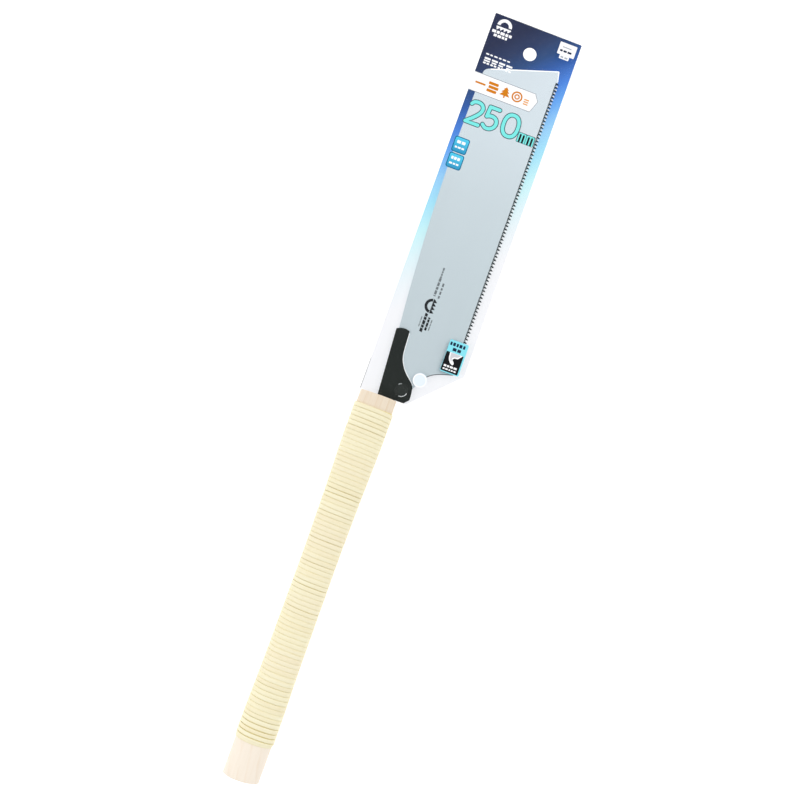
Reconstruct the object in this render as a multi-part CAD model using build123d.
from build123d import *
import math
import os

os.makedirs("parts", exist_ok=True)

# ---------------------------------------------------------------------------
# Japanese single-edged pull saw with a hook-in replaceable blade, lying flat
# in its slide-off sleeve.  Millimetres.
#
# Working coordinates: x = 0 at the base of the steel head, just ahead of the
# front face of the wooden handle, +x towards the blade tip, y = 0 on the handle's axis with
# the teeth towards -y, z = 0 in the middle plane of the blade.  Everything is
# moved at the end by ORIGIN_SHIFT, so that the part's origin is the middle of
# its outline on the surface it lies on.
# ---------------------------------------------------------------------------

# --- driving dimensions: handle -------------------------------------------
HANDLE_LEN = 316.4          # front face to butt
FRONT_X = -0.9              # front face of the wood
BUTT_X = FRONT_X - HANDLE_LEN
WRAP_X0 = -286.0            # rattan wrap, butt end
WRAP_X1 = -12.6             # rattan wrap, front end
STRAND_T = 1.1              # thickness of the rattan strand
OVAL_RATIO = 0.74           # thickness / width of the oval grip
BARE_BUTT_W = 28.45         # width of the bare wood behind the wrap
BARE_FRONT_W = 29.85        # width of the bare wood ahead of the wrap
OVAL_N = 2.3                # superellipse exponent of the oval
# (x, width over the wrap): slightly waisted grip
WRAP_W = [(-286.0, 30.85), (-268.0, 30.7), (-245.0, 29.95), (-220.0, 29.1),
          (-195.0, 28.6), (-165.0, 28.25), (-135.0, 28.35), (-105.0, 29.0),
          (-82.0, 29.7), (-60.0, 30.9), (-36.0, 32.05), (-12.6, 32.4)]

# --- driving dimensions: steel head ----------------------------------------
SHEET = 1.2                 # folded sheet of the head
SLOT = 0.7                  # gap between the cheeks
HEAD_Z = SLOT / 2 + SHEET   # half thickness of the folded head
PIN = (8.86, -15.64)        # centre of the hook pin
PIN_R = 2.5
PIN_HEAD_R = 3.6
PIN_HEAD_T = 0.5
WASHER_R = 5.6
WASHER_T = 0.4
SHAFT_GAP = 0.02            # radial gap of fixed pins in their holes
TONGUE_LEN = 96.0           # length of the head's tongues inside the handle
TANG_PIN_X = (-30.0, -78.0)
TANG_PIN_R = 1.6

# --- driving dimensions: blade ----------------------------------------------
BLADE_T = 0.6
TOOTH_PITCH = 1.5
TEETH = 167
TOOTH_X0 = 41.25
ROOT_Y = -50.5
TOOTH_TIP_Y = -53.0
NOTCH_R = 2.55              # hook notch, 0.05 mm running gap on the pin

# --- driving dimensions: sleeve ----------------------------------------------
SLEEVE_X0 = -0.3            # mouth, 0.6 mm ahead of the handle
SLEEVE_X1 = 330.8
SLEEVE_Y0 = -60.15
SLEEVE_Y1 = 16.25
CUT_A = (-0.3, -23.4)       # 45 degree cut of the mouth's lower corner
CUT_B = (36.45, -60.15)
INNER_Z = 2.8               # half depth of the sleeve inside
FILM_T = 0.3
CARD_T = 0.5
RAIL_W = 1.6
SPINE_RAIL_X0 = 56.0        # the spine side is open nearer the handle
CORNER_R = 0.8
RAIL_END = 2.5              # the rails stop short of the corners
HANG = (307.8, -21.9)
HANG_R = 5.6
STICKER_T = 0.15

ORIGIN_SHIFT = (-(SLEEVE_X1 + BUTT_X) / 2,
                -(SLEEVE_Y0 + SLEEVE_Y1) / 2,
                max(w for _, w in WRAP_W) * OVAL_RATIO / 2)


def save(node, solids):
    """Moves the solids of one node into the part's frame and writes them."""
    moved = [s.moved(Location(ORIGIN_SHIFT)) for s in solids]
    for s in moved:
        s.label = node
    shape = moved[0] if len(moved) == 1 else Compound(children=moved)
    export_step(shape, "parts/" + node + ".step")


def solids_of(shape):
    return list(shape.solids())


def interp(table, x):
    if x <= table[0][0]:
        return table[0][1]
    for (xa, wa), (xb, wb) in zip(table, table[1:]):
        if x <= xb:
            return wa + (wb - wa) * (x - xa) / (xb - xa)
    return table[-1][1]


def oval(x, w, dy=0.0, t=None):
    """Superellipse section across the handle at x, w wide in y."""
    t = w * OVAL_RATIO if t is None else t
    pts = []
    n = 28
    for i in range(n):
        a = 2 * math.pi * i / n
        c, s = math.cos(a), math.sin(a)
        pts.append((dy + w / 2 * math.copysign(abs(c) ** (2 / OVAL_N), c),
                    t / 2 * math.copysign(abs(s) ** (2 / OVAL_N), s)))
    face = make_face(Spline(*pts, periodic=True))
    return Plane.YZ.offset(x) * face


def plate(points, z0, z1):
    """Flat plate: closed outline in x, y between two heights."""
    face = make_face(Polyline(*points, close=True))
    return extrude(Plane.XY.offset(z0) * face, z1 - z0)


# ---------------------------------------------------------------------------
# handle: two glued wooden halves, recessed where the rattan is wound
# ---------------------------------------------------------------------------
outer = loft([oval(x, w) for x, w in WRAP_W])
core_mid = loft([oval(x, w - 2 * STRAND_T) for x, w in WRAP_W])

butt_full = BUTT_X + 2.2
bare_butt = loft([oval(butt_full, BARE_BUTT_W), oval(WRAP_X0, BARE_BUTT_W)],
                 ruled=True)
# the butt is eased: more on the lower edge, as if trimmed at a slant
butt_end = loft([oval(BUTT_X, 22.8, 1.1, BARE_BUTT_W * OVAL_RATIO - 3.0),
                 oval(butt_full, BARE_BUTT_W)], ruled=True)
front_full = FRONT_X - 1.0
bare_front = loft([oval(WRAP_X1, BARE_FRONT_W), oval(front_full, BARE_FRONT_W)],
                  ruled=True)
front_end = loft([oval(front_full, BARE_FRONT_W),
                  oval(FRONT_X, BARE_FRONT_W - 1.6)],
                 ruled=True)
core = core_mid + bare_butt + butt_end + bare_front + front_end

# outline of the tongues of the folded head inside the handle
TONGUE = [(4.0, 0.4), (-6.0, 0.6), (-26.0, 6.5), (-90.0, 6.0), (-TONGUE_LEN, 2.0),
          (-TONGUE_LEN, -2.0), (-90.0, -6.0), (-26.0, -6.5), (-6.0, -12.6),
          (4.0, -12.8)]
recess_gap = 0.1
RECESS = [(4.0, 0.4 + recess_gap), (-6.05, 0.6 + recess_gap),
          (-26.05, 6.5 + recess_gap), (-90.1, 6.0 + recess_gap),
          (-TONGUE_LEN - recess_gap, 2.05), (-TONGUE_LEN - recess_gap, -2.05),
          (-90.1, -6.0 - recess_gap), (-26.05, -6.5 - recess_gap),
          (-5.95, -12.6 - recess_gap), (4.0, -12.8 - recess_gap)]
recess = plate(RECESS, -HEAD_Z, HEAD_Z)
core = core - recess
for px in TANG_PIN_X:
    core = core - Pos(px, 0, 0) * Cylinder(TANG_PIN_R + SHAFT_GAP, 40)

half_box = Box(400, 60, 30, align=(Align.CENTER, Align.CENTER, Align.MIN))
upper = core & (Pos(-160, 0, 0) * half_box)
lower = core & (Pos(-160, 0, -30) * half_box)
save("handle_half_upper", solids_of(upper))
save("handle_half_lower", solids_of(lower))

# rattan strand, wound tight: a sleeve of the strand's thickness over the core
wrap = outer - core_mid
save("rattan_wrap", solids_of(wrap))

# two steel cross pins tie the halves and the tongues together under the wrap
tang_pins = []
for px in TANG_PIN_X:
    t_half = (interp(WRAP_W, px) - 2 * STRAND_T) * OVAL_RATIO / 2 - 0.3
    tang_pins += solids_of(Pos(px, 0, 0) * Cylinder(TANG_PIN_R, 2 * t_half))
save("tang_pins", tang_pins)

# ---------------------------------------------------------------------------
# head: one sheet folded over the blade's back, with two tongues as its tang
# ---------------------------------------------------------------------------
with BuildSketch() as head_sk:
    with BuildLine():
        Polyline((26.2, -11.95), (22.2, -15.5), (18.9, -19.25), (16.6, -21.7))
        Spline((16.6, -21.7), (14.1, -23.2), (8.5, -24.2), (3.65, -24.5))
        Polyline((3.65, -24.5), (-0.2, -20.8), (-0.2, -13.4), (FRONT_X, -13.4),
                 (FRONT_X, 1.2 + FRONT_X * (4.9 - 1.2) / 54.4), (54.4, 4.9))
        Spline((54.4, 4.9), (56.6, -0.6), (56.1, -6.05))
        Line((56.1, -6.05), (39.1, -7.1))
        Spline((39.1, -7.1), (34.2, -7.9), (31.0, -9.1), (26.2, -11.95))
    make_face()
head_face = head_sk.sketch
head_solid = extrude(Plane.XY.offset(-HEAD_Z) * head_face, 2 * HEAD_Z)
tongue_solid = plate(TONGUE, -HEAD_Z, HEAD_Z)
slope = (4.9 - 1.2) / 54.4
drop = SHEET * math.sqrt(1 + slope * slope)
slot_cut = plate([(-110.0, 12.0), (-1.0, 12.0), (-1.0, 1.2 - drop),
                  (70.0, 1.2 + 70 * slope - drop), (70.0, -40.0),
                  (-110.0, -40.0)], -SLOT / 2, SLOT / 2)
shell = (head_solid + tongue_solid) - slot_cut
shell = shell - Pos(PIN[0], PIN[1], 0) * Cylinder(PIN_R + SHAFT_GAP, 10)
for px in TANG_PIN_X:
    shell = shell - Pos(px, 0, 0) * Cylinder(TANG_PIN_R + SHAFT_GAP, 10)
save("head_shell", solids_of(shell))

# filler strip between the tongues: it keeps the slot open in the handle
filler = plate([(-1.2, 0.2), (-6.0, 0.4), (-26.0, 6.3), (-90.0, 5.8),
                (-TONGUE_LEN + 0.2, 1.9), (-TONGUE_LEN + 0.2, -1.9),
                (-90.0, -5.8), (-26.0, -6.3), (-6.0, -12.4), (-1.2, -12.5)],
               -SLOT / 2, SLOT / 2)
for px in TANG_PIN_X:
    filler = filler - Pos(px, 0, 0) * Cylinder(TANG_PIN_R + SHAFT_GAP, 10)
save("tang_filler", solids_of(filler))

# hook pin: a shaft across the slot, riveted over a washer on each cheek
pin_len = 2 * (HEAD_Z + WASHER_T)
pin = Cylinder(PIN_R, pin_len + 0.2)
cap = Cylinder(PIN_HEAD_R, PIN_HEAD_T,
               align=(Align.CENTER, Align.CENTER, Align.MIN))
cap = chamfer(cap.edges().sort_by(Axis.Z)[-1], 0.3)
dimple = Pos(0, 0, PIN_HEAD_T - 0.2) * Cylinder(
    1.6, 1.0, align=(Align.CENTER, Align.CENTER, Align.MIN))
cap = cap - dimple
pin = pin + Pos(0, 0, pin_len / 2) * cap
pin = pin + (Pos(0, 0, -pin_len / 2) * Rot(180, 0, 0) * cap)
save("hook_pin", [Pos(PIN[0], PIN[1], 0) * s for s in solids_of(pin)])

washer = Cylinder(WASHER_R, WASHER_T,
                  align=(Align.CENTER, Align.CENTER, Align.MIN))
washer = washer - Cylinder(PIN_R + SHAFT_GAP, 4)
washer = chamfer(washer.edges().group_by(Axis.Z)[-1].sort_by(
    lambda e: e.length)[-1], 0.2)
save("pin_washer_front",
     [Pos(PIN[0], PIN[1], HEAD_Z) * s for s in solids_of(washer)])
save("pin_washer_back",
     [Pos(PIN[0], PIN[1], -HEAD_Z) * Rot(180, 0, 0) * s
      for s in solids_of(washer)])

# ---------------------------------------------------------------------------
# blade: hooked over the pin, its back in the head's fold
# ---------------------------------------------------------------------------
tooth_pts = []
for i in range(TEETH):
    x = TOOTH_X0 + i * TOOTH_PITCH
    tooth_pts.append((x, ROOT_Y))
    tooth_pts.append((x + 0.30, TOOTH_TIP_Y))
tooth_end = TOOTH_X0 + TEETH * TOOTH_PITCH
tooth_pts.append((tooth_end, ROOT_Y))

R_TOP = 15.9                # the rear corner clears the fold as it swings
R_LOW = 8.3                 # the hook finger clears the handle as it swings
rear_x = 0.5


def on_arc(r, deg):
    return (PIN[0] + r * math.cos(math.radians(deg)),
            PIN[1] + r * math.sin(math.radians(deg)))


a_top = math.degrees(math.acos((rear_x - PIN[0]) / R_TOP))
a_low0 = 360 - math.degrees(math.acos((rear_x + 0.06 - PIN[0]) / R_LOW))
rear = [on_arc(R_TOP, 90 + (a_top - 90) * k / 6) for k in range(7)]
rear.append((rear_x + 0.06, PIN[1] + 0.0))
hook = [on_arc(R_LOW, 188 + (222 - 188) * k / 5) for k in range(6)]
hook += [(3.3, -21.6), (4.4, -22.0), (5.6, -21.6), (PIN[0] - NOTCH_R, -20.6)]
notch = [(PIN[0] + NOTCH_R * math.cos(math.radians(180 - 180 * k / 16)),
          PIN[1] + NOTCH_R * math.sin(math.radians(180 - 180 * k / 16)))
         for k in range(17)]
heel = [(PIN[0] + NOTCH_R, -22.8), (12.2, -23.5), (15.33, -24.85),
        (26.66, -32.06), (28.69, -34.88), (31.14, -39.71), (32.78, -44.56),
        (34.1, -49.2), (34.75, -51.2), (36.0, -51.9), (39.3, -51.9),
        (40.6, -51.3)]
tip = [(291.95, -51.55), (293.0, -51.55), (301.2, -49.85), (301.75, -49.2)]
spine = [(60.9, 3.40), (80.0, 4.95), (100.0, 6.33), (120.0, 7.58),
         (140.0, 8.66), (160.0, 9.52), (180.0, 10.16), (200.0, 10.55),
         (215.0, 10.66), (235.0, 10.56), (257.0, 10.20), (277.5, 9.63)]
with BuildSketch() as blade_sk:
    with BuildLine():
        Polyline(*(list(reversed(spine[:1])) + [(12.0, 0.58)] + rear + hook
                   + notch + heel + tooth_pts + tip + [(283.57, 4.34)]))
        Spline((283.57, 4.34), (281.85, 7.7), (277.5, 9.63))
        Spline(*reversed(spine))
    make_face()
blade = extrude(Plane.XY.offset(-BLADE_T / 2) * blade_sk.sketch, BLADE_T)
save("saw_blade", solids_of(blade))

# ---------------------------------------------------------------------------
# sleeve: printed back card, clear front film, rails that hold them apart
# ---------------------------------------------------------------------------
def sleeve_outline():
    r = CORNER_R

    def corner(cx, cy, a0, a1):
        return [(cx + r * math.cos(math.radians(a0 + (a1 - a0) * k / 6)),
                 cy + r * math.sin(math.radians(a0 + (a1 - a0) * k / 6)))
                for k in range(7)]
    pts = [CUT_A, CUT_B]
    pts += corner(SLEEVE_X1 - r, SLEEVE_Y0 + r, -90, 0)
    pts += corner(SLEEVE_X1 - r, SLEEVE_Y1 - r, 0, 90)
    pts += [(SLEEVE_X0, SLEEVE_Y1)]
    return pts


def sleeve_sheet(z0, z1):
    sheet = plate(sleeve_outline(), z0, z1)
    return sheet - Pos(HANG[0], HANG[1], 0) * Cylinder(HANG_R, 20)


save("sleeve_back_card", solids_of(sleeve_sheet(-INNER_Z - CARD_T, -INNER_Z)))
save("sleeve_front_film", solids_of(sleeve_sheet(INNER_Z, INNER_Z + FILM_T)))

tooth_rail = plate([(CUT_B[0] - 1.0, SLEEVE_Y0 + 1.02), (CUT_B[0], SLEEVE_Y0),
                    (SLEEVE_X1 - RAIL_END, SLEEVE_Y0),
                    (SLEEVE_X1 - RAIL_END, SLEEVE_Y0 + RAIL_W),
                    (CUT_B[0] - 1.0, SLEEVE_Y0 + RAIL_W)], -INNER_Z, INNER_Z)
save("tooth_side_rail", solids_of(tooth_rail))
spine_rail = plate([(SPINE_RAIL_X0, SLEEVE_Y1 - RAIL_W),
                    (SLEEVE_X1 - RAIL_END, SLEEVE_Y1 - RAIL_W),
                    (SLEEVE_X1 - RAIL_END, SLEEVE_Y1),
                    (SPINE_RAIL_X0, SLEEVE_Y1)], -INNER_Z, INNER_Z)
save("spine_side_rail", solids_of(spine_rail))
tip_rail = plate([(SLEEVE_X1 - RAIL_W, SLEEVE_Y0 + RAIL_END),
                  (SLEEVE_X1, SLEEVE_Y0 + RAIL_END),
                  (SLEEVE_X1, SLEEVE_Y1 - RAIL_END),
                  (SLEEVE_X1 - RAIL_W, SLEEVE_Y1 - RAIL_END)],
                 -INNER_Z, INNER_Z)
save("tip_end_rail", solids_of(tip_rail))


def rounded_plate(x0, y0, x1, y1, r, z0, z1):
    face = Pos((x0 + x1) / 2, (y0 + y1) / 2) * RectangleRounded(
        x1 - x0, y1 - y0, r)
    return extrude(Plane.XY.offset(z0) * face, z1 - z0)


TOP = INNER_Z + FILM_T
# sticker that shows how the blade hooks in, over the heel end of the teeth
save("hook_diagram_label", solids_of(
    rounded_plate(34.6, -54.9, 61.5, -39.1, 1.2, TOP, TOP + STICKER_T)))
# round seal over the mouth of the sleeve, at the blade's heel
save("round_seal", solids_of(
    Pos(21.6, -27.0, TOP) * Cylinder(
        5.75, STICKER_T, align=(Align.CENTER, Align.CENTER, Align.MIN))))
# blank price sticker on the header
save("price_sticker", solids_of(
    rounded_plate(314.5, -56.8, 325.0, -42.1, 0.5, TOP, TOP + STICKER_T)))
